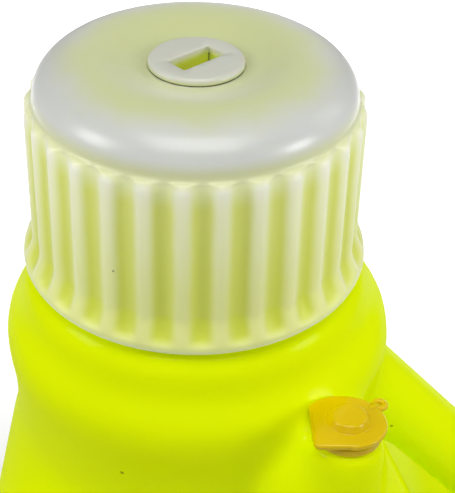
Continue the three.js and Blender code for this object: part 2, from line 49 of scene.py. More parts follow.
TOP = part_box("cap_plug")[1].z / MM
FLANGE_RADIUS = (cap_high.x - cap_low.x) / 2 / MM
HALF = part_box("jug_body")[1].x / MM
VENT_REACH = 42.0
VENT_OUT = 55.7
VENT_DROP = 85.4
VENT = Vector((NECK_X + VENT_REACH, -VENT_OUT, TOP - VENT_DROP))

# Body
WALL = 3.0
CORNER_RADIUS = 46.0
BASE_EDGE = 16.0
PANEL_RAISE = 4.0
PANEL_MARGIN = 30.0
WAIST_RADIUS = 57.6
WAIST_DROP = 115.0
SIDE_SHOULDER_DROP = 275.0
FRONT_SHOULDER_DROP = 205.0
REAR_SHOULDER_DROP = 305.0
COLLAR_TOP_RADIUS = 47.2
COLLAR_TOP_DROP = 62.6
BULGE_RADIUS = 58.4
BULGE_REAR_REACH = 61.2
BULGE_DROP = 91.0
NECK_RADIUS = 39.6
MOUTH_RADIUS = 35.6
NECK_TOP_DROP = 9.8
NECK_PITCH = 6.0
NECK_THREAD_HEIGHT = 2.3
NECK_THREAD_TURNS = 1.75
NECK_THREAD_DROP = 31.0
SADDLE_START = Vector((37, -47, -109))
SADDLE_END = Vector((70, -58, -190))
SADDLE_RADII = (21.0, 28.0)
VENT_BOSS_RADIUS = 12.5
HANDLE_HALF_WIDTH = 15.0
HANDLE_HALF_THICKNESS = 11.5
HANDLE_START_REACH = 57.4
HANDLE_START_DROP = 116.0
HANDLE_START = Vector((NECK_X + HANDLE_START_REACH, 0, TOP - HANDLE_START_DROP))
HANDLE_START_SINK = 18.0
HANDLE_SLOPE = math.radians(46.5)
HANDLE_BEND = 42.0
HANDLE_REAR_INSET = 15.5
HANDLE_FOOT = 236.0
GRIP_WIDTH = 110.0
GRIP_DEPTH = 26.0
GRIP_HEIGHT = 30.0
GRIP_LOW = 30.0
VOXEL = 2.5
SMOOTHING = 10

# Cap
CAP_HEIGHT = 61.3
DOME_DROP = -0.8
DOME_RADIUS = 44.4
DOME_FULLNESS = 2.3
DOME_RISE = 11.9
DOME_RUN = 16.2
DISH_DEPTH = 2.7
RIBS = 30
RIB_PHASE = math.radians(-3.85 - 90)
RIB_HEIGHT = 1.8
RIB_TOP_DROP = 10.6
RIB_TOP_ROUND = 2.6
POINTS_PER_RIB = 16
# The skirt over its ribs: radius at the start, then the lip's flare between two drops.
CREST_RADIUS = 46.8
CREST_START = 10.9
LIP_FLARE = 2.7
LIP_ROUND = 1.5
LIP_START_DROP = 59.8
FLARE_START = 51.0
FLARE_END = 60.0
# Depth of the flutes at a drop.
FLUTE = [(10.9, 1.8), (55, 1.8), (56.8, 1.5), (58.0, 0.7), (59.0, 0)]
SKIRT_DRAFT = 0.0255
BORE_RADIUS = 42.6
CAP_TOP_WALL = 6.0
PLUG_SEAT_RADIUS = 12.85
PLUG_SEAT_DROP = 3.9
PLUG_BORE = 9.65
BOSS_RADIUS = 14.15
BOSS_LENGTH = 15.0

# Plug and vent
GAP = 0.3
PLUG_RADIUS = 13.1
PLUG_THICKNESS = 2.1
PLUG_SHANK = 7.8
PLUG_SHANK_LENGTH = 15.0
PLUG_HOLLOW_RADIUS = 5.4
PLUG_HOLLOW_DEPTH = 3.6
PLUG_CHAMFER = 0.8
PLUG_EDGE_ROUND = 1.3
WASHER_PLAY = 2.2
PLUG_PITCH = 3.0
PLUG_THREAD_HEIGHT = 1.3
PLUG_THREAD_TURNS = 2.5
PLUG_THREAD_RISE = 3.5
SLOT_HALF_LENGTH = 7.3
SLOT_HALF_WIDTH = 3.4
SLOT_CORNER = 0.7
SLOT_TURN = math.radians(42)
VENT_TUBE_RADIUS = 6.3
VENT_TUBE_LENGTH = 12.0
VENT_BORE_RADIUS = 4.8
VENT_RING_RADIUS = 9.4
VENT_RING_HEIGHT = 2.9
VENT_PLATE_LIFT = 1.2
VENT_LEAN = -0.12
VENT_PLATE_RADIUS = 10.6
VENT_PLATE_FLAT = 10.2
VENT_PLATE_THICKNESS = 1.8
VENT_BUTTON_RADIUS = 5.9
VENT_BUTTON_HEIGHT = 2.3
PLATE_ROUND = 0.8
STOPPER_RADIUS = 4.45
STOPPER_LENGTH = 4.2
LOOP_RADIUS = 1.6
LOOP_TURN = math.radians(38)

# Camera fitted to the outline of the cap and the collar
FRAME_WIDTH = 455
FRAME_HEIGHT = 493
FOCAL_PIXELS = 1018.1
SENSOR_WIDTH = 36
CAMERA_FROM_CAP = Vector((0, -246.0, 123.5))
CAMERA_PITCH = math.radians(37.161)
CAMERA_YAW = math.radians(2.304)
CAMERA_ROLL = math.radians(1.914)

# Lights that face the cap: name, place and size in metres, and power in watts
LIGHTS = (
    ("left_soft", (-0.88, -0.24, 0.96), (0.35, 0.4), 3.1),
    ("right_soft", (0.87, -0.34, 0.82), (0.3, 0.3), 2.8),
    ("right_rear_soft", (0.85, 0.35, 1.0), (0.4, 0.5), 1.0),
    ("top_soft", (-0.05, -0.38, 1.6), (0.9, 0.7), 7.5),
    ("front_soft", (-0.2, -1.3, 0.9), (1.2, 0.6), 0.45),
)


def through(stations, height):
    """A value that runs smoothly through stations (height, value), in rising order of height."""
    if height <= stations[0][0]:
        return stations[0][1]
    if height >= stations[-1][0]:
        return stations[-1][1]

    def slope(i):
        if i in (0, len(stations) - 1):
            return 0.0
        before = (stations[i][1] - stations[i - 1][1]) / (stations[i][0] - stations[i - 1][0])
        after = (stations[i + 1][1] - stations[i][1]) / (stations[i + 1][0] - stations[i][0])
        return 0.0 if before * after <= 0 else 2 * before * after / (before + after)

    k = max(i for i in range(len(stations) - 1) if stations[i][0] <= height)
    (z0, v0), (z1, v1) = stations[k], stations[k + 1]
    span = z1 - z0
    t = (height - z0) / span
    rise = (1 - t) ** 2 * t * slope(k) * span - (1 - t) * t * t * slope(k + 1) * span
    return v0 + (v1 - v0) * t * t * (3 - 2 * t) + rise


def arc(cx, cy, radius, start, end, steps):
    """Points of an arc, from one angle to another in degrees."""
    angles = [math.radians(start + (end - start) * i / steps) for i in range(steps + 1)]
    return [(cx + radius * math.cos(a), cy + radius * math.sin(a)) for a in angles]


def new_piece(name, vertices, faces):
    """A new object in the scene, from places in millimetres."""
    mesh = bpy.data.meshes.new(name)
    mesh.from_pydata([Vector(v) * MM for v in vertices], [], faces)
    mesh.validate()
    mesh.update()
    piece = bpy.data.objects.new(name, mesh)
    bpy.context.collection.objects.link(piece)
    return piece


def skin(name, rings, loop=False):
    """A skin over a stack of rings with equal counts of points: capped, or joined end to end."""
    count = len(rings[0])
    vertices = [p for ring in rings for p in ring]
    faces = []
    rows = len(rings) if loop else len(rings) - 1
    for row in range(rows):
        low = row * count
        high = ((row + 1) % len(rings)) * count
        for i in range(count):
            j = (i + 1) % count
            faces.append((low + i, low + j, high + j, high + i))
    if not loop:
        faces.append(tuple(reversed(range(count))))
        faces.append(tuple(range(len(vertices) - count, len(vertices))))
    return new_piece(name, vertices, faces)


def revolve(name, profile, sides=96, centre=(0, 0, 0), loop=False):
    """A body of revolution about a vertical axis, from (radius, height) points."""
    cx, cy, cz = centre
    turns = [2 * math.pi * i / sides for i in range(sides)]
    rings = [
        [(cx + max(r, 0.01) * math.cos(a), cy + max(r, 0.01) * math.sin(a), cz + h) for a in turns]
        for r, h in profile
    ]
    return skin(name, rings, loop=loop)


def cylinder(name, radius, low, high, sides, centre):
    return revolve(name, [(0, low), (radius, low), (radius, high), (0, high)], sides, centre)


def from_top(drop):
    """The height of a place that lies this far under the part's top."""
    return TOP - drop


WAIST = from_top(WAIST_DROP)


def shoulder(reach, drop, shares):
    """Stations of a half width, from the straight wall up to the waist, with shares of the gain."""
    low = from_top(drop)
    rise = WAIST - low
    gain = reach - WAIST_RADIUS
    heights = (0.22, 0.45, 0.68, 0.86)
    inner = [(low + rise * h, reach - gain * s) for h, s in zip(heights, shares)]
    return [(low, reach)] + inner + [(WAIST, WAIST_RADIUS)]


SIDE = shoulder(HALF, SIDE_SHOULDER_DROP, (0.05, 0.22, 0.54, 0.87))
FRONT = shoulder(HALF + NECK_X, FRONT_SHOULDER_DROP, (0.12, 0.36, 0.64, 0.88))
REAR = shoulder(HALF - NECK_X, REAR_SHOULDER_DROP, (0.36, 0.74, 0.9, 0.965))
CORNER = [(from_top(SIDE_SHOULDER_DROP), CORNER_RADIUS), (WAIST, WAIST_RADIUS - 0.4)]
COLLAR_PROFILE = (
    (106, 57.4), (99, 57.7), (BULGE_DROP, 58.6), (87, 58.3), (83, 57.2), (80, 55.4), (77, 53.4),
    (74, 52.3), (70, 51.9), (67.5, 51.2), (65, 49.4), (COLLAR_TOP_DROP, COLLAR_TOP_RADIUS),
)
COLLAR = [(WAIST, WAIST_RADIUS)] + [(from_top(drop), radius) for drop, radius in COLLAR_PROFILE]
COLLAR_REAR = [
    (WAIST, BULGE_REAR_REACH - BULGE_RADIUS - 1),
    (from_top(BULGE_DROP), BULGE_REAR_REACH - BULGE_RADIUS),
    (from_top(COLLAR_TOP_DROP), 0.0),
]


def body_ring(height, inset, sides):
    """One level outline of the body: a rectangle with round corners, or a circle at the neck."""
    above = height > WAIST
    radius = through(COLLAR, height)
    front = (radius if above else through(FRONT, height)) - inset
    rear = (radius + through(COLLAR_REAR, height) if above else through(REAR, height)) - inset
    side = (radius if above else through(SIDE, height)) - inset
    corner = min((radius - 0.4 if above else through(CORNER, height)) - inset, front - 0.4)
    centres = (
        (rear - corner, side - corner),
        (corner - front, side - corner),
        (corner - front, corner - side),
        (rear - corner, corner - side),
    )
    points = []
    for quarter, (x, y) in enumerate(centres):
        for i in range(sides + 1):
            angle = (quarter + i / sides) * math.pi / 2
            points.append((NECK_X + x + corner * math.cos(angle),
                           y + corner * math.sin(angle), height))
    return points


def body_form(name, inset, low, high, sides, level_step, collar_step):
    """The body's form at an inset from its outside, between two heights, with a round base edge."""
    edge = BASE_EDGE - inset
    rings = []
    for i in range(8):
        angle = i / 8 * math.pi / 2
        level = low + edge * (1 - math.cos(angle))
        rings.append(body_ring(level, inset + edge * (1 - math.sin(angle)), sides))
    levels = [low + edge]
    height = from_top(REAR_SHOULDER_DROP) - 20
    while height < WAIST - 1:
        levels.append(height)
        height += level_step
    height = WAIST
    while height < high - 0.5:
        levels.append(height)
        height += collar_step
    rings += [body_ring(z, inset, sides) for z in levels + [high]]
    return skin(name, rings)


def saddle_form(name, inset):
    """The round shoulder under the vent, wider at its low end."""
    start = SADDLE_START + Vector((NECK_X, 0, TOP))
    end = SADDLE_END + Vector((NECK_X, 0, TOP))
    length = (end - start).length
    r0, r1 = (r - inset for r in SADDLE_RADII)
    profile = [(0, -r0)] + arc(0, 0, r0, -85, 0, 12)
    profile += arc(0, length, r1, 0, 85, 12) + [(0, length + r1)]
    piece = revolve(name, profile, 64)
    turn = (end - start).to_track_quat("Z", "Y").to_matrix().to_4x4()
    piece.data.transform(Matrix.Translation(start * MM) @ turn)
    return piece


def handle_points(steps):
    """Centre line of the handle, from inside the neck to inside the rear wall."""
    along = Vector((math.cos(HANDLE_SLOPE), 0, -math.sin(HANDLE_SLOPE)))
    rear_x = HALF - HANDLE_REAR_INSET
    knee = HANDLE_START + along * ((rear_x - HANDLE_START.x) / along.x)
    cut = HANDLE_BEND * math.tan((math.pi / 2 - HANDLE_SLOPE) / 2)
    bend_start = knee - along * cut
    bend_end = Vector((rear_x, 0, knee.z - cut))
    first = HANDLE_START - along * HANDLE_START_SINK
    line = [first.lerp(bend_start, i / steps) for i in range(steps)]
    for i in range(steps + 1):
        t = i / steps
        line.append(bend_start * (1 - t) ** 2 + knee * 2 * t * (1 - t) + bend_end * t * t)
    foot = Vector((rear_x, 0, HANDLE_FOOT))
    line += [bend_end.lerp(foot, i / steps) for i in range(1, steps + 1)]
    return line


def handle_form(name, inset, sides):
    """The bent handle: an oval swept along its centre line."""
    line = handle_points(16)
    rings = []
    for i, centre in enumerate(line):
        tangent = (line[min(i + 1, len(line) - 1)] - line[max(i - 1, 0)]).normalized()
        outward = Vector((-tangent.z, 0, tangent.x))
        ring = []
        for k in range(sides):
            angle = 2 * math.pi * k / sides
            out = (HANDLE_HALF_THICKNESS - inset) * math.cos(angle)
            across = (HANDLE_HALF_WIDTH - inset) * math.sin(angle)
            ring.append(centre + outward * out - Vector((0, across, 0)))
        rings.append(ring)
    return skin(name, rings)


def thread_form(name, base, crest, pitch, turns, start, centre):
    """A helical ridge: its foot is sunk in the wall at base and its top reaches crest."""
    per_turn = 72
    steps = round(turns * per_turn)
    sunk = base + math.copysign(0.4, base - crest)
    section = [(sunk, -1.2), (crest, -0.5), (crest, 0.5), (sunk, 1.2)]
    if crest > base:
        section.reverse()
    rings = []
    for i in range(steps + 1):
        angle = 2 * math.pi * i / per_turn
        grow = min(1.0, max(0.12, min(i, steps - i) / 8))
        ring = []
        for radius, rise in section:
            r = radius if radius == sunk else base + (crest - base) * grow
            height = centre[2] + start + pitch * i / per_turn + rise * pitch / 6
            ring.append((centre[0] + r * math.cos(angle), centre[1] + r * math.sin(angle), height))
        rings.append(ring)
    return skin(name, rings)


def apply_modifiers(piece):
    graph = bpy.context.evaluated_depsgraph_get()
    mesh = bpy.data.meshes.new_from_object(piece.evaluated_get(graph))
    piece.modifiers.clear()
    piece.data = mesh


def join_meshes(name, pieces):
    """One object that holds the meshes of all the given pieces, which are removed."""
    graph = bmesh.new()
    for piece in pieces:
        graph.from_mesh(piece.data)
        bpy.data.objects.remove(piece)
    mesh = bpy.data.meshes.new(name)
    graph.to_mesh(mesh)
    graph.free()
    joined = bpy.data.objects.new(name, mesh)
    bpy.context.collection.objects.link(joined)
    return joined


def cut_away(piece, tool):
    """Cuts one piece out of another. The tool is removed."""
    cut = piece.modifiers.new("cut", "BOOLEAN")
    cut.object = tool
    cut.operation = "DIFFERENCE"
    cut.solver = "EXACT"
    apply_modifiers(piece)
    bpy.data.objects.remove(tool)


def face_outward(piece):
    graph = bmesh.new()
    graph.from_mesh(piece.data)
    bmesh.ops.recalc_face_normals(graph, faces=graph.faces)
    graph.to_mesh(piece.data)
    graph.free()


def smooth_shade(piece, degrees):
    """Smooth faces, with edges that bend by more than the angle kept sharp."""
    for face in piece.data.polygons:
        face.use_smooth = True
    sharp = bmesh.new()
    sharp.from_mesh(piece.data)
    limit = math.radians(degrees)
    for edge in sharp.edges:
        edge.smooth = len(edge.link_faces) != 2 or edge.calc_face_angle(0) < limit
    sharp.to_mesh(piece.data)
    sharp.free()


def grip_form(name, grow):
    """The recess for the fingers low on the rear face."""
    radius = GRIP_HEIGHT / 2 + grow
    back = HALF - GRIP_DEPTH + GRIP_HEIGHT / 2
    mid = GRIP_LOW + GRIP_HEIGHT / 2
    outside = HALF + 20
    outline = [(outside, mid + radius)] + arc(back, mid, radius, 90, 270, 24)
    outline.append((outside, mid - radius))
    half_length = GRIP_WIDTH / 2 + grow
    rings = [[(x, y, z) for x, z in outline] for y in (half_length, -half_length)]
    return skin(name, rings)


def panel_form(name):
    """The raised panel that is cut out of the base, with sloping sides."""
    rings = []
    for height, reach in ((-1, HALF - PANEL_MARGIN + 1), (0, HALF - PANEL_MARGIN),
                          (PANEL_RAISE, HALF - PANEL_MARGIN - PANEL_RAISE)):
        corner = CORNER_RADIUS - 8
        ring = []
        for quarter in range(4):
            sx = 1 if quarter in (0, 3) else -1
            sy = 1 if quarter < 2 else -1
            for i in range(13):
                a = (quarter + i / 12) * math.pi / 2
                ring.append((sx * (reach - corner) + corner * math.cos(a),
                             sy * (reach - corner) + corner * math.sin(a), height))
        rings.append(ring)
    return skin(name, rings)


def make_jug():
    """The blown shell: its forms are melted together, smoothed at their joins and hollowed."""
    seat = (VENT.x, VENT.y, VENT.z)
    boss = revolve("boss", [(0, -40), (VENT_BOSS_RADIUS + 3, -40), (VENT_BOSS_RADIUS - 0.5, -9)]
                   + arc(VENT_BOSS_RADIUS - 3.5, -1.6, 2, 0, 90, 5) + [(0, 0.4)], 64, seat)
    lean_forward(boss)
    outer = join_meshes("jug_shell", [
        body_form("body", 0, 0, from_top(COLLAR_TOP_DROP), 24, 5, 1.5),
        saddle_form("saddle", 0),
        handle_form("handle", 0, 48),
        boss,
    ])
    melt = outer.modifiers.new("melt", "REMESH")
    melt.mode = "VOXEL"
    melt.voxel_size = VOXEL * MM
    apply_modifiers(outer)
    soften = outer.modifiers.new("soften", "SMOOTH")
    soften.factor = 0.5
    soften.iterations = SMOOTHING
    apply_modifiers(outer)
    inside_top = from_top(COLLAR_TOP_DROP) - WALL
    inner = body_form("hollow", WALL, PANEL_RAISE + WALL, inside_top, 8, 20, 5)
    cut_away(outer, panel_form("panel"))
    cut_away(outer, grip_form("grip", 0))
    cut_away(inner, grip_form("grip", WALL))
    cut_away(outer, inner)
    cut_away(outer, cylinder("mouth", MOUTH_RADIUS, -COLLAR_TOP_DROP - 8, 1, 96, (NECK_X, 0, TOP)))
    cut_away(outer, cylinder("hole", VENT_TUBE_RADIUS + GAP, -30, 3, 48, seat))
    smooth_shade(outer, 50)
    neck = revolve("neck_finish", [
        (MOUTH_RADIUS, -COLLAR_TOP_DROP - 0.5),
        (NECK_RADIUS, -COLLAR_TOP_DROP - 0.5),
        (NECK_RADIUS, -NECK_TOP_DROP - 1.2),
    ] + arc(NECK_RADIUS - 1.2, -NECK_TOP_DROP - 1.2, 1.2, 0, 90, 6)
      + [(MOUTH_RADIUS, -NECK_TOP_DROP)], 120, (NECK_X, 0, TOP), loop=True)
    thread = thread_form("neck_thread", NECK_RADIUS, NECK_RADIUS + NECK_THREAD_HEIGHT, NECK_PITCH,
                         NECK_THREAD_TURNS, -NECK_THREAD_DROP, (NECK_X, 0, TOP))
    neck = join_meshes("neck_finish", [neck, thread])
    smooth_shade(neck, 35)
    return outer, neck


def rib_share(angle):
    """How far an angle round the cap is up a rib: 1 along its back, 0 in the flute."""
    wave = math.cos((angle - RIB_PHASE) * RIBS)
    return min(1.0, 0.5 + 0.52 * wave) ** 1.1 if wave > -0.96 else 0.0


def make_cap():
    """The cap: dome, fluted skirt, rolled lip, plain bore and the boss that holds the plug."""
    count = RIBS * POINTS_PER_RIB
    angles = [2 * math.pi * i / count for i in range(count)]

    def plain(radius, drop):
        height = from_top(drop)
        return [(NECK_X + radius * math.cos(a), radius * math.sin(a), height) for a in angles]

    def ribbed(drop, height_share):
        share = min(1.0, max(0.0, (drop - FLARE_START) / (FLARE_END - FLARE_START)))
        crest = CREST_RADIUS + SKIRT_DRAFT * (drop - CREST_START)
        crest += LIP_FLARE * share * share * (3 - 2 * share)
        depth = through(FLUTE, drop)
        ring = []
        for a in angles:
            radius = crest - depth + (depth - RIB_HEIGHT * (1 - height_share)) * rib_share(a)
            ring.append((NECK_X + radius * math.cos(a), radius * math.sin(a), from_top(drop)))
        return ring

    lip_centre = FLANGE_RADIUS - LIP_ROUND - 0.1
    lip_edge = [(lip_centre, CAP_HEIGHT)]
    lip_edge += arc(lip_centre, CAP_HEIGHT - LIP_ROUND, LIP_ROUND, 75, 0, 5)
    rings = [plain(BORE_RADIUS + 1.2, CAP_HEIGHT - 0.6), plain(BORE_RADIUS + 1.8, CAP_HEIGHT)]
    rings += [plain(r, d) for r, d in lip_edge]
    lip_drops = [LIP_START_DROP - 0.35 * i for i in range(30)]
    skirt_drops = [48.4, 46, 43, 39, 34, 29, 24, 19, 16]
    rings += [ribbed(d, 1.0) for d in lip_drops + skirt_drops]
    for i in range(8, -1, -1):
        t = math.radians(i * 90 / 8)
        rings.append(ribbed(RIB_TOP_DROP + RIB_TOP_ROUND * (1 - math.cos(t)), math.sin(t)))
    for i in range(1, 25):
        t = math.radians(i * 90 / 24)
        out, up = math.cos(t) ** (2 / DOME_FULLNESS), math.sin(t) ** (2 / DOME_FULLNESS)
        rings.append(plain(DOME_RADIUS - DOME_RUN * (1 - out), DOME_DROP + DOME_RISE * (1 - up)))
    dish_radius = DOME_RADIUS - DOME_RUN
    for i in range(1, 9):
        t = i / 8
        rings.append(plain(dish_radius - t * (dish_radius - PLUG_SEAT_RADIUS - 0.6),
                           DOME_DROP + DISH_DEPTH * t * t * (3 - 2 * t)))
    dish = DOME_DROP + DISH_DEPTH
    rings += [plain(PLUG_SEAT_RADIUS + 0.2, dish + 0.15), plain(PLUG_SEAT_RADIUS, dish + 0.5)]
    rings += [plain(PLUG_SEAT_RADIUS, PLUG_SEAT_DROP), plain(PLUG_BORE, PLUG_SEAT_DROP)]
    inside_top = DOME_DROP + CAP_TOP_WALL
    boss_end = inside_top + BOSS_LENGTH
    rings += [plain(PLUG_BORE, boss_end), plain(BOSS_RADIUS, boss_end)]
    rings += [plain(BOSS_RADIUS, inside_top), plain(BORE_RADIUS - 2.2, inside_top)]
    rings += [plain(BORE_RADIUS, inside_top + 6), plain(BORE_RADIUS, CAP_HEIGHT - 1.8)]
    cap = skin("cap_shell", rings, loop=True)
    face_outward(cap)
    smooth_shade(cap, 55)
    return cap


def polar_ring(reach, height, centre, sides=96):
    """A level ring about a centre, with its reach given for each angle."""
    cx, cy, cz = centre
    angles = [2 * math.pi * i / sides for i in range(sides)]
    return [(cx + reach(a) * math.cos(a), cy + reach(a) * math.sin(a), cz + height) for a in angles]


def plate_reach(inset):
    """The vent plate's outline: round, with a straight hinge side towards -X and a square front."""
    radius = VENT_PLATE_RADIUS - inset

    def reach(angle):
        across, back = -math.cos(angle), math.sin(angle)
        if across <= 0.01:
            return radius
        side = (VENT_PLATE_FLAT - inset) / across
        if back > 0:
            return min(side, radius * (1 + 0.16 * across))
        return min(side, radius * 0.97 / max(-back, 0.01), radius * 1.3)
    return reach


def lean_forward(piece):
    """Slants a piece of the vent, lower towards the front, as its seat on the shoulder is."""
    for vertex in piece.data.vertices:
        vertex.co.z += VENT_LEAN * (vertex.co.y - VENT.y * MM)


def bar(name, start, end, radius, sides=24):
    """A round bar with round ends."""
    length = (end - start).length
    profile = arc(0, 0, radius, -90, 0, 6) + arc(0, length, radius, 0, 90, 6)
    piece = revolve(name, profile, sides)
    turn = (end - start).to_track_quat("Z", "Y").to_matrix().to_4x4()
    piece.data.transform(Matrix.Translation(start * MM) @ turn)
    return piece


def hinge_bar(name, inset, half_length, height, radius):
    """A round bar beside the straight side of the vent's plate."""
    x = inset - VENT_PLATE_FLAT
    ends = [VENT + Vector((x, y, height)) for y in (-half_length, half_length)]
    return bar(name, *ends, radius)


def ring_bar(name, centre, major, minor):
    """A round ring that lies level."""
    profile = [(major + x, y) for x, y in arc(0, 0, minor, 0, 360, 16)[:-1]]
    return revolve(name, profile, 40, centre, loop=True)


def make_vent_base():
    seat = (VENT.x, VENT.y, VENT.z)
    bore, outer, top = VENT_BORE_RADIUS, VENT_RING_RADIUS, VENT_RING_HEIGHT
    profile = [(bore, -VENT_TUBE_LENGTH), (VENT_TUBE_RADIUS - 0.6, -VENT_TUBE_LENGTH)]
    profile += [(VENT_TUBE_RADIUS, -VENT_TUBE_LENGTH + 0.6), (VENT_TUBE_RADIUS, GAP)]
    profile += [(outer - 0.5, GAP), (outer, GAP + 0.4)]
    profile += arc(outer - 0.8, top - 0.7, 0.7, 0, 90, 5)
    profile += arc(bore + 0.5, top - 0.5, 0.5, 90, 180, 4)
    ring = revolve("vent_ring", profile, 96, seat, loop=True)
    lug = hinge_bar("vent_lug", 1.2, 4, 2.0, 0.9)
    piece = join_meshes("vent_ring", [ring, lug])
    lean_forward(piece)
    smooth_shade(piece, 45)
    return piece


def make_vent_cap():
    """The vent's lid: stopper, plate with its straight side, domed button, loop and barrel."""
    low = VENT_RING_HEIGHT + VENT_PLATE_LIFT
    high = low + VENT_PLATE_THICKNESS
    top = high + VENT_BUTTON_HEIGHT
    seat = (VENT.x, VENT.y, VENT.z)

    def round_at(radius):
        return lambda angle: radius

    tip = low - STOPPER_LENGTH
    form = [(round_at(0.01), tip), (round_at(3.3), tip), (round_at(3.7), tip + 0.4),
            (round_at(STOPPER_RADIUS), low - 1.5), (round_at(STOPPER_RADIUS), low)]
    form += [(plate_reach(0.4), low), (plate_reach(0.1), low + 0.15), (plate_reach(0), low + 0.4)]
    form += [(plate_reach(PLATE_ROUND - y), z)
             for y, z in arc(0, high - PLATE_ROUND, PLATE_ROUND, 0, 90, 6)]
    foot = arc(VENT_BUTTON_RADIUS + 0.5, high + 0.5, 0.5, 190, 270, 5)
    form += [(round_at(r), z) for r, z in reversed(foot)]
    form += [(round_at(VENT_BUTTON_RADIUS - 0.25), high + 1.0)]
    form += [(round_at(r), z) for r, z in arc(VENT_BUTTON_RADIUS - 1.8, top - 1.2, 1.2, 15, 85, 7)]
    form += [(round_at(VENT_BUTTON_RADIUS * share), top + 0.12 * (1 - share))
             for share in (0.5, 0.25)]
    form += [(round_at(0.01), top + 0.15)]
    plate = skin("vent_plate", [polar_ring(reach, height, seat) for reach, height in form])
    mid = (low + high) / 2
    out = Vector((math.cos(LOOP_TURN), math.sin(LOOP_TURN), 0))
    middle = VENT + Vector((0, 0, mid))
    loop_centre = middle + out * (VENT_PLATE_RADIUS + LOOP_RADIUS)
    loop = ring_bar("vent_loop", loop_centre, LOOP_RADIUS, 0.9)
    stalk_start = middle + out * (VENT_PLATE_RADIUS - 1.5)
    stalk = bar("vent_stalk", stalk_start, loop_centre - out * 1.3, 1.2)
    barrel = hinge_bar("vent_barrel", 0.7, 3.6, mid, 0.8)
    piece = join_meshes("vent_plate", [plate, loop, stalk, barrel])
    lean_forward(piece)
    smooth_shade(piece, 45)
    return piece


def make_plug():
    """The slotted plug: flange with a rolled edge, threaded shank, hollow below."""
    low = -PLUG_THICKNESS
    axis = (NECK_X, 0, TOP)
    end = low - PLUG_SHANK_LENGTH
    profile = [(0, end + PLUG_HOLLOW_DEPTH), (PLUG_HOLLOW_RADIUS, end + PLUG_HOLLOW_DEPTH)]
    profile += [(PLUG_HOLLOW_RADIUS, end), (PLUG_SHANK - PLUG_CHAMFER, end)]
    profile += [(PLUG_SHANK, end + PLUG_CHAMFER), (PLUG_SHANK, low)]
    profile += [(PLUG_RADIUS - 0.6, low), (PLUG_RADIUS - 0.6, -1.72), (PLUG_RADIUS, -1.66)]
    profile += arc(PLUG_RADIUS - PLUG_EDGE_ROUND, -PLUG_EDGE_ROUND, PLUG_EDGE_ROUND, 0, 90, 8)
    profile += [(6, 0), (0, 0)]
    plug = revolve("plug_form", profile, 120, axis)
    half_length, half_width, corner = SLOT_HALF_LENGTH, SLOT_HALF_WIDTH, SLOT_CORNER
    outline = []
    for quarter, (sx, sy) in enumerate(((1, 1), (-1, 1), (-1, -1), (1, -1))):
        outline += [(sx * (half_length - corner) + x, sy * (half_width - corner) + y)
                    for x, y in arc(0, 0, corner, quarter * 90, quarter * 90 + 90, 4)]
    cos_turn, sin_turn = math.cos(SLOT_TURN), math.sin(SLOT_TURN)
    rings = []
    for height, grow in ((-6, 0), (-0.5, 0), (-0.15, 0.1), (0.02, 0.4), (1, 0.4)):
        ring = []
        for x, y in outline:
            x += math.copysign(grow, x)
            y += math.copysign(grow, y)
            ring.append((NECK_X + x * cos_turn - y * sin_turn,
                         x * sin_turn + y * cos_turn, TOP + height))
        rings.append(ring)
    cut_away(plug, skin("slot", rings))
    thread_start = PLUG_THREAD_RISE - DOME_DROP - CAP_TOP_WALL - BOSS_LENGTH
    thread = thread_form("plug_thread", PLUG_SHANK, PLUG_SHANK + PLUG_THREAD_HEIGHT, PLUG_PITCH,
                         PLUG_THREAD_TURNS, thread_start, axis)
    plug = join_meshes("plug_form", [plug, thread])
    smooth_shade(plug, 50)
    return plug


def flat_ring(name, inner, outer, low, high):
    """A flat ring about the neck's axis with broken edges."""
    edge = 0.3
    profile = [(inner, low + edge), (inner + edge, low), (outer - edge, low), (outer, low + edge),
               (outer, high - edge), (outer - edge, high), (inner + edge, high), (inner, high - edge)]
    piece = revolve(name, profile, 120, (NECK_X, 0, 0), loop=True)
    smooth_shade(piece, 30)
    return piece


def ring_in_box(name, node, inner):
    """A flat ring as wide and as high as a node of the CAD."""
    low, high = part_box(node)
    return flat_ring(name, inner, (high.x - low.x) / 2 / MM, low.z / MM, high.z / MM)


def node_material(name, base, roughness):
    """A new material, with its node tree and its shader."""
    material = bpy.data.materials.new(name)
    material.use_nodes = True
    shader = material.node_tree.nodes["Principled BSDF"]
    shader.inputs["Base Color"].default_value = (*base, 1)
    shader.inputs["Roughness"].default_value = roughness
    return material, material.node_tree, shader


def noise(tree, scale, detail):
    texture = tree.nodes.new("ShaderNodeTexNoise")
    texture.inputs["Scale"].default_value = scale
    texture.inputs["Detail"].default_value = detail
    tree.links.new(object_coords(tree), texture.inputs["Vector"])
    return texture.outputs["Fac"]


def object_coords(tree):
    return tree.nodes.new("ShaderNodeTexCoord").outputs["Object"]


def ramp(tree, value, stops):
    node = tree.nodes.new("ShaderNodeValToRGB")
    while len(node.color_ramp.elements) < len(stops):
        node.color_ramp.elements.new(0.5)
    for element, (place, colour) in zip(node.color_ramp.elements, stops):
        element.position = place
        element.color = (*colour, 1)
    tree.links.new(value, node.inputs["Fac"])
    return node.outputs["Color"]


def add_bump(tree, shader, value, strength, distance):
    bump = tree.nodes.new("ShaderNodeBump")
    bump.inputs["Strength"].default_value = strength
    bump.inputs["Distance"].default_value = distance
    tree.links.new(value, bump.inputs["Height"])
    tree.links.new(bump.outputs["Normal"], shader.inputs["Normal"])


def srgb(r, g, b):
    """A colour as light, from the 0 to 255 values that a screen shows."""
    shares = (c / 255 for c in (r, g, b))
    return tuple(c / 12.92 if c <= 0.04045 else ((c + 0.055) / 1.055) ** 2.4 for c in shares)


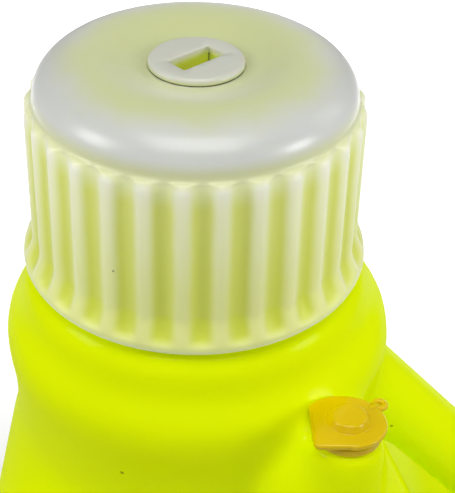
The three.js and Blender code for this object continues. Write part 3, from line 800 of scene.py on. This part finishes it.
def math_node(tree, operation, a, b=None, c=None):
    node = tree.nodes.new("ShaderNodeMath")
    node.operation = operation
    for socket, value in zip(node.inputs, (a, b, c)):
        if isinstance(value, (int, float)):
            socket.default_value = value
        elif value is not None:
            tree.links.new(value, socket)
    return node.outputs[0]


def fade(tree, value, start, end):
    """0 before start, 1 after end, and smooth between them."""
    node = tree.nodes.new("ShaderNodeMapRange")
    node.interpolation_type = "SMOOTHSTEP"
    node.inputs["From Min"].default_value = start
    node.inputs["From Max"].default_value = end
    tree.links.new(value, node.inputs["Value"])
    return node.outputs["Result"]


def mix(tree, share, a, b):
    node = tree.nodes.new("ShaderNodeMix")
    node.data_type = "RGBA"
    tree.links.new(share, node.inputs["Factor"])
    for socket, value in ((node.inputs[6], a), (node.inputs[7], b)):
        if isinstance(value, tuple):
            socket.default_value = (*value, 1)
        else:
            tree.links.new(value, socket)
    return node.outputs[2]


def specks(tree, scale, size, share):
    """1 on a few small round specks of dirt that lie at random over the surface, 0 between them."""
    cells = tree.nodes.new("ShaderNodeTexVoronoi")
    cells.inputs["Scale"].default_value = scale
    tree.links.new(object_coords(tree), cells.inputs["Vector"])
    split = tree.nodes.new("ShaderNodeSeparateColor")
    tree.links.new(cells.outputs["Color"], split.inputs[0])
    chosen = math_node(tree, "LESS_THAN", split.outputs[0], share)
    near = math_node(tree, "LESS_THAN", cells.outputs["Distance"], size)
    return math_node(tree, "MULTIPLY", chosen, near)


def jug_material():
    material, tree, shader = node_material("jug_yellow", srgb(224, 244, 0), 0.34)
    colour = ramp(tree, noise(tree, 9, 3), [(0.3, srgb(226, 245, 0)), (0.7, srgb(232, 250, 0))])
    colour = mix(tree, specks(tree, 60, 0.035, 0.9), colour, srgb(150, 164, 10))
    tree.links.new(colour, shader.inputs["Base Color"])
    shader.inputs["Subsurface Weight"].default_value = 0.12
    shader.inputs["Subsurface Radius"].default_value = (1.0, 1.0, 0.1)
    shader.inputs["Subsurface Scale"].default_value = 0.004
    # Painted glow: a weak yellow emission lifts the whole shell, also where it lies in shade, in
    # place of the plastic's real fluorescence.
    shader.inputs["Emission Color"].default_value = (*srgb(205, 228, 0), 1)
    shader.inputs["Emission Strength"].default_value = 0.08
    shader.inputs["Specular IOR Level"].default_value = 0.0
    shader.inputs["Coat Weight"].default_value = 0.09
    shader.inputs["Coat Roughness"].default_value = 0.11
    scuffs = fade(tree, noise(tree, 45, 6), 0.62, 0.72)
    fine = math_node(tree, "MULTIPLY", noise(tree, 900, 5), scuffs)
    grain = math_node(tree, "MULTIPLY_ADD", fine, 1.5, noise(tree, 420, 3))
    add_bump(tree, shader, grain, 0.08, 0.0004)
    return material


def about_neck(tree):
    """Distance from the neck's axis, drop under the cap's top, and 0 in front to 1 at the sides."""
    split = tree.nodes.new("ShaderNodeSeparateXYZ")
    tree.links.new(object_coords(tree), split.inputs[0])
    x = math_node(tree, "MULTIPLY_ADD", split.outputs[0], 1 / MM, -NECK_X)
    y = math_node(tree, "MULTIPLY", split.outputs[1], 1 / MM)
    z = math_node(tree, "MULTIPLY", split.outputs[2], 1 / MM)
    squares = math_node(tree, "MULTIPLY_ADD", x, x, math_node(tree, "MULTIPLY", y, y))
    radius = math_node(tree, "SQRT", squares)
    sideways = math_node(tree, "DIVIDE", math_node(tree, "ABSOLUTE", x), radius)
    return radius, math_node(tree, "SUBTRACT", TOP, z), sideways


def cap_material():
    """Natural plastic that shows the yellow neck through it where its wall is thin, with a painted
    glow that is brighter at the sides and partly painted shade on the lip's bead.
    """
    material, tree, shader = node_material("cap_natural", srgb(222, 224, 196), 0.26)
    radius, drop, sideways = about_neck(tree)
    floor_start = CREST_RADIUS - RIB_HEIGHT - CREST_START * SKIRT_DRAFT
    straight = math_node(tree, "MULTIPLY_ADD", drop, SKIRT_DRAFT, floor_start)
    flare = math_node(tree, "MULTIPLY", fade(tree, drop, FLARE_START, FLARE_END), LIP_FLARE)
    floor = math_node(tree, "ADD", straight, flare)
    share = math_node(tree, "DIVIDE", math_node(tree, "SUBTRACT", radius, floor), RIB_HEIGHT)
    cloud = math_node(tree, "MULTIPLY_ADD", noise(tree, 90, 5), 0.3, -0.15)
    on_rib = fade(tree, math_node(tree, "ADD", share, cloud), 0.15, 1.0)
    low = fade(tree, drop, 12, 52)
    groove = mix(tree, low, srgb(208, 214, 98), srgb(199, 208, 52))
    rib = mix(tree, low, srgb(230, 232, 192), srgb(214, 219, 138))
    groove = mix(tree, fade(tree, drop, 10.5, 19), srgb(224, 228, 176), groove)
    rib = mix(tree, fade(tree, drop, 10.5, 19), srgb(232, 234, 214), rib)
    skirt = mix(tree, on_rib, groove, rib)
    # The flared bead is painted a darker green: partly its own tone, partly painted shade where it
    # turns up towards the lamps. Its very edge is whiter.
    skirt = mix(tree, fade(tree, drop, 58.0, 59.2), skirt, srgb(205, 212, 130))
    skirt = mix(tree, fade(tree, drop, 59.0, 60), skirt, srgb(208, 213, 160))
    wander = math_node(tree, "MULTIPLY_ADD", noise(tree, 60, 4), 10, radius)
    dome = mix(tree, fade(tree, wander, 33, 46), srgb(205, 212, 146), srgb(211, 213, 208))
    dome = mix(tree, fade(tree, drop, 5.5, 9.5), dome, srgb(203, 207, 160))
    colour = mix(tree, fade(tree, drop, 9.5, 12.5), dome, skirt)
    colour = mix(tree, specks(tree, 60, 0.035, 0.6), colour, srgb(150, 155, 90))
    tree.links.new(colour, shader.inputs["Base Color"])
    # Painted glow: the cap shines in its own colour, in place of light scattered through its
    # translucent wall; the glow is stronger at the sides than in front and absent on the dome's top.
    tree.links.new(colour, shader.inputs["Emission Color"])
    painted_glow = math_node(tree, "MULTIPLY_ADD", fade(tree, sideways, 0.15, 0.85), 0.12, 0.16)
    painted_glow = math_node(tree, "MULTIPLY", fade(tree, drop, 2, 12), painted_glow)
    tree.links.new(painted_glow, shader.inputs["Emission Strength"])
    shader.inputs["Specular IOR Level"].default_value = 0.65
    rough = math_node(tree, "MULTIPLY_ADD", fade(tree, drop, 8, 14), 0.22, 0.28)
    tree.links.new(rough, shader.inputs["Roughness"])
    shader.inputs["Sheen Weight"].default_value = 0.85
    shader.inputs["Sheen Roughness"].default_value = 0.5
    shader.inputs["Subsurface Weight"].default_value = 0.5
    shader.inputs["Subsurface Radius"].default_value = (1.0, 1.0, 0.7)
    shader.inputs["Subsurface Scale"].default_value = 0.005
    add_bump(tree, shader, noise(tree, 300, 4), 0.05, 0.0003)
    return material


def plug_material():
    material, tree, shader = node_material("plug_natural", srgb(208, 210, 196), 0.32)
    drop = about_neck(tree)[1]
    tint = mix(tree, fade(tree, drop, 0.4, 3.0), srgb(208, 210, 196), srgb(214, 222, 80))
    tree.links.new(tint, shader.inputs["Base Color"])
    shader.inputs["Subsurface Weight"].default_value = 0.15
    shader.inputs["Subsurface Scale"].default_value = 0.002
    add_bump(tree, shader, noise(tree, 300, 4), 0.05, 0.0003)
    return material


def vent_material():
    material, tree, shader = node_material("vent_amber", srgb(232, 200, 0), 0.3)
    colour = ramp(tree, noise(tree, 60, 3), [(0.3, srgb(221, 189, 0)), (0.7, srgb(229, 196, 0))])
    tree.links.new(colour, shader.inputs["Base Color"])
    shader.inputs["Specular IOR Level"].default_value = 0.0
    shader.inputs["Coat Weight"].default_value = 0.7
    shader.inputs["Coat Roughness"].default_value = 0.12
    shader.inputs["Subsurface Weight"].default_value = 0.2
    shader.inputs["Subsurface Radius"].default_value = (1.0, 0.8, 0.1)
    shader.inputs["Subsurface Scale"].default_value = 0.002
    add_bump(tree, shader, noise(tree, 400, 4), 0.05, 0.0002)
    return material


def soft_material(name, colour, roughness):
    material, tree, shader = node_material(name, colour, roughness)
    tone = ramp(tree, noise(tree, 900, 3), [(0.3, tuple(c * 0.85 for c in colour)), (0.7, colour)])
    tree.links.new(tone, shader.inputs["Base Color"])
    add_bump(tree, shader, noise(tree, 1500, 2), 0.2, 0.0002)
    return material


def finish_piece(piece, body, slot, material, *nodes):
    piece.data.materials.clear()
    piece.data.materials.append(material)
    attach(piece, body)
    if nodes:
        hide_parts(*nodes)


def make_camera():
    camera = bpy.data.objects.new("camera", bpy.data.cameras.new("camera"))
    bpy.context.collection.objects.link(camera)
    pitch, yaw, roll = CAMERA_PITCH, CAMERA_YAW, CAMERA_ROLL
    level = math.cos(pitch)
    forward = Vector((math.sin(yaw) * level, math.cos(yaw) * level, -math.sin(pitch)))
    right = forward.cross(Vector((0, 0, 1))).normalized()
    up = right.cross(forward)
    tilted_right = right * math.cos(roll) + up * math.sin(roll)
    tilted_up = up * math.cos(roll) - right * math.sin(roll)
    turn = Matrix((tilted_right, tilted_up, -forward)).transposed().to_4x4()
    place = CAMERA_FROM_CAP + Vector((NECK_X, 0, TOP))
    camera.matrix_world = Matrix.Translation(place * MM) @ turn
    camera.data.sensor_width = SENSOR_WIDTH
    camera.data.lens = SENSOR_WIDTH * FOCAL_PIXELS / max(FRAME_WIDTH, FRAME_HEIGHT)
    camera.data.clip_start = 0.01
    bpy.context.scene.camera = camera


def add_light(name, place, target, size, power, spread=180):
    light = bpy.data.lights.new(name, "AREA")
    light.shape = "RECTANGLE"
    light.size, light.size_y = size
    light.energy = power
    light.spread = math.radians(spread)
    lamp = bpy.data.objects.new(name, light)
    bpy.context.collection.objects.link(lamp)
    lamp.location = place
    lamp.rotation_euler = (Vector(target) - Vector(place)).to_track_quat("-Z", "Y").to_euler()


def make_stage():
    bpy.ops.mesh.primitive_plane_add(size=12, location=(0, 0, 0))
    floor = bpy.context.object
    floor.name = "floor"
    material, tree, shader = node_material("floor_white", (0.9, 0.9, 0.9), 0.7)
    floor.data.materials.append(material)
    world = bpy.data.worlds.new("studio")
    world.use_nodes = True
    world.node_tree.nodes["Background"].inputs["Color"].default_value = (1, 1, 1, 1)
    world.node_tree.nodes["Background"].inputs["Strength"].default_value = 0.2
    bpy.context.scene.world = world
    target = (NECK_X * MM, 0, TOP * MM)
    for name, place, size, power in LIGHTS:
        add_light(name, place, target, size, power)
    # The floor behind the jug is lit as far as white, as the photo's ground is.
    add_light("background_soft", (0, 1.2, 1.0), (0, 1.2, 0), (2.4, 1.3), 18, spread=70)


scene = bpy.context.scene
scene.view_settings.view_transform = "Standard"
make_camera()
make_stage()

yellow = jug_material()
natural = cap_material()
shell, neck = make_jug()
finish_piece(shell, "jug", "jug_plastic", yellow, "jug_body")
finish_piece(neck, "jug", "jug_plastic", yellow, "jug_body")
cap = make_cap()
finish_piece(cap, "cap", "cap_plastic", natural, "screw_cap")
finish_piece(make_plug(), "plug", "plug_plastic", plug_material(), "cap_plug")
amber = vent_material()
finish_piece(make_vent_base(), "jug", "vent_plastic", amber, "vent_base")
finish_piece(make_vent_cap(), "vent_lid", "vent_plastic", amber, "vent_cap")
gasket = ring_in_box("gasket_ring", "cap_gasket", MOUTH_RADIUS)
foam = soft_material("foam_white", (0.8, 0.8, 0.78), 0.8)
finish_piece(gasket, "cap_lift_ring", "foam", foam, "cap_gasket")
washer = ring_in_box("washer_ring", "plug_washer", PLUG_SHANK + WASHER_PLAY)
rubber = soft_material("washer_rubber", (0.5, 0.52, 0.46), 0.6)
finish_piece(washer, "plug_lift_ring", "rubber", rubber, "plug_washer")
